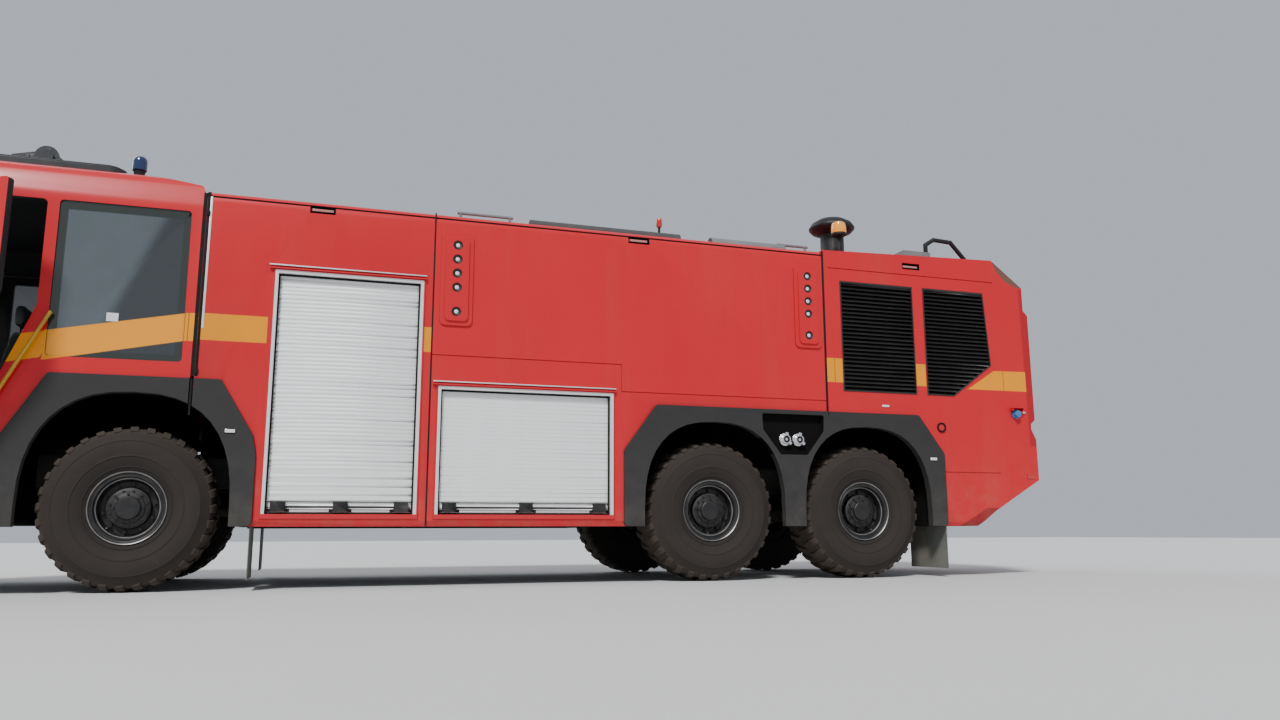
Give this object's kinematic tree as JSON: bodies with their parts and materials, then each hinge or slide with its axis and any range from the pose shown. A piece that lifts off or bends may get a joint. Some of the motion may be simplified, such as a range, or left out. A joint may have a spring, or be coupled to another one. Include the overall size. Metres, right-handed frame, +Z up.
{
  "type": "airport fire truck",
  "caption": "Six-wheel-drive airport crash tender with a hollow cab, roller shutters, louvred engine bay, and roof and bumper water monitors",
  "frame": {"origin": "on the ground, under the middle of the whole vehicle as it stands", "axes": "+X forward along the vehicle, +Y to its left, +Z up"},
  "size_m": [12.036, 3.986, 4.1652],
  "materials": {
    "red_paint": "gloss, sun-faded, dusty low down",
    "tinted_glass": "tinted",
    "dark_plastic": "textured matt",
    "black_plastic": "matt",
    "chassis_paint": "satin, dusty",
    "seat_fabric": "woven",
    "shutter_slats": "anodised satin",
    "bare_aluminium": "brushed",
    "roof_fittings": "satin",
    "monitor_metal": "satin",
    "lamp_lens": "clear",
    "blue_lens": "gloss",
    "yellow_paint": "gloss",
    "coupling_metal": "machined",
    "tyre_rubber": "dusty",
    "wheel_paint": "satin, dusty"
  },
  "bodies": {
    "root": {"cab_shell": "red_paint", "cab_floor": "red_paint", "body_front": "red_paint", "body_mid": "red_paint", "body_rear": "red_paint", "cab_glass": "tinted_glass", "front_flares": "dark_plastic", "rear_flares": "dark_plastic", "front_bumper": "dark_plastic", "chassis_frame": "chassis_paint", "front_axle": "chassis_paint", "rear_axles": "chassis_paint", "engine_block": "chassis_paint", "cab_seats": "seat_fabric", "dashboard": "black_plastic", "mirrors": "black_plastic", "louvre_grilles": "black_plastic", "vent_cap": "black_plastic", "roof_hoops": "black_plastic", "shutters_front": "shutter_slats", "shutters_mid": "shutter_slats", "shutter_frames": "bare_aluminium", "roof_deck": "roof_fittings", "monitor_bases": "monitor_metal", "lamp_pods": "red_paint", "lamps": "lamp_lens", "beacons": "blue_lens", "handrails": "yellow_paint", "outlets": "coupling_metal"},
    "door_left": {"door_left": "red_paint", "door_left_glass": "tinted_glass"},
    "door_right": {"door_right": "red_paint", "door_right_glass": "tinted_glass"},
    "roof_monitor": {"roof_monitor_yoke": "monitor_metal"},
    "roof_barrel": {"roof_monitor_barrel": "monitor_metal"},
    "bumper_monitor": {"bumper_monitor_yoke": "monitor_metal"},
    "bumper_barrel": {"bumper_monitor_barrel": "monitor_metal"},
    "knuckle_left": {"knuckle_left": "chassis_paint"},
    "knuckle_right": {"knuckle_right": "chassis_paint"},
    "axle_1_wheel_left": {"tyre_1_left": "tyre_rubber", "wheel_1_left": "wheel_paint"},
    "axle_1_wheel_right": {"tyre_1_right": "tyre_rubber", "wheel_1_right": "wheel_paint"},
    "axle_2_wheel_left": {"tyre_2_left": "tyre_rubber", "wheel_2_left": "wheel_paint"},
    "axle_2_wheel_right": {"tyre_2_right": "tyre_rubber", "wheel_2_right": "wheel_paint"},
    "axle_3_wheel_left": {"tyre_3_left": "tyre_rubber", "wheel_3_left": "wheel_paint"},
    "axle_3_wheel_right": {"tyre_3_right": "tyre_rubber", "wheel_3_right": "wheel_paint"}
  },
  "joints": [
    {"name": "steer_left", "type": "hinge", "parent": "root", "child": "knuckle_left", "pos_m": [3.17, 1.01, 0.685], "axis": [0, 0, 1], "range_deg": [-28, 28]},
    {"name": "steer_right", "type": "hinge", "parent": "root", "child": "knuckle_right", "pos_m": [3.17, -1.01, 0.685], "axis": [0, 0, 1], "range_deg": [-28, 28]},
    {"name": "spin_1_left", "type": "hinge", "parent": "knuckle_left", "child": "axle_1_wheel_left", "pos_m": [3.17, 1.13, 0.685], "axis": [0, 1, 0], "continuous": true},
    {"name": "spin_1_right", "type": "hinge", "parent": "knuckle_right", "child": "axle_1_wheel_right", "pos_m": [3.17, -1.13, 0.685], "axis": [0, 1, 0], "continuous": true},
    {"name": "spin_2_left", "type": "hinge", "parent": "root", "child": "axle_2_wheel_left", "pos_m": [-2.03, 1.13, 0.685], "axis": [0, 1, 0], "continuous": true},
    {"name": "spin_2_right", "type": "hinge", "parent": "root", "child": "axle_2_wheel_right", "pos_m": [-2.03, -1.13, 0.685], "axis": [0, 1, 0], "continuous": true},
    {"name": "spin_3_left", "type": "hinge", "parent": "root", "child": "axle_3_wheel_left", "pos_m": [-3.75, 1.13, 0.685], "axis": [0, 1, 0], "continuous": true},
    {"name": "spin_3_right", "type": "hinge", "parent": "root", "child": "axle_3_wheel_right", "pos_m": [-3.75, -1.13, 0.685], "axis": [0, 1, 0], "continuous": true},
    {"name": "open_door_left", "type": "hinge", "parent": "root", "child": "door_left", "pos_m": [5.02, 1.5, 2.28], "axis": [0, 0, -1], "range_deg": [-30, 45]},
    {"name": "open_door_right", "type": "hinge", "parent": "root", "child": "door_right", "pos_m": [5.02, -1.5, 2.28], "axis": [0, 0, 1], "range_deg": [0, 75]},
    {"name": "pan_roof_monitor", "type": "hinge", "parent": "root", "child": "roof_monitor", "pos_m": [4.32, 0, 3.7403], "axis": [0, 0, 1], "range_deg": [-135, 135]},
    {"name": "tilt_roof_monitor", "type": "hinge", "parent": "roof_monitor", "child": "roof_barrel", "pos_m": [4.32, 0, 4.0603], "axis": [0, -1, 0], "range_deg": [0, 84]},
    {"name": "pan_bumper_monitor", "type": "hinge", "parent": "root", "child": "bumper_monitor", "pos_m": [5.78, 0, 1.05], "axis": [0, 0, 1], "range_deg": [-90, 90]},
    {"name": "tilt_bumper_monitor", "type": "hinge", "parent": "bumper_monitor", "child": "bumper_barrel", "pos_m": [5.78, 0, 1.18], "axis": [0, -1, 0], "range_deg": [-10, 60]}
  ],
  "couplings": [
    {"joint": "steer_right", "follows": "steer_left", "ratio": 1}
  ]
}
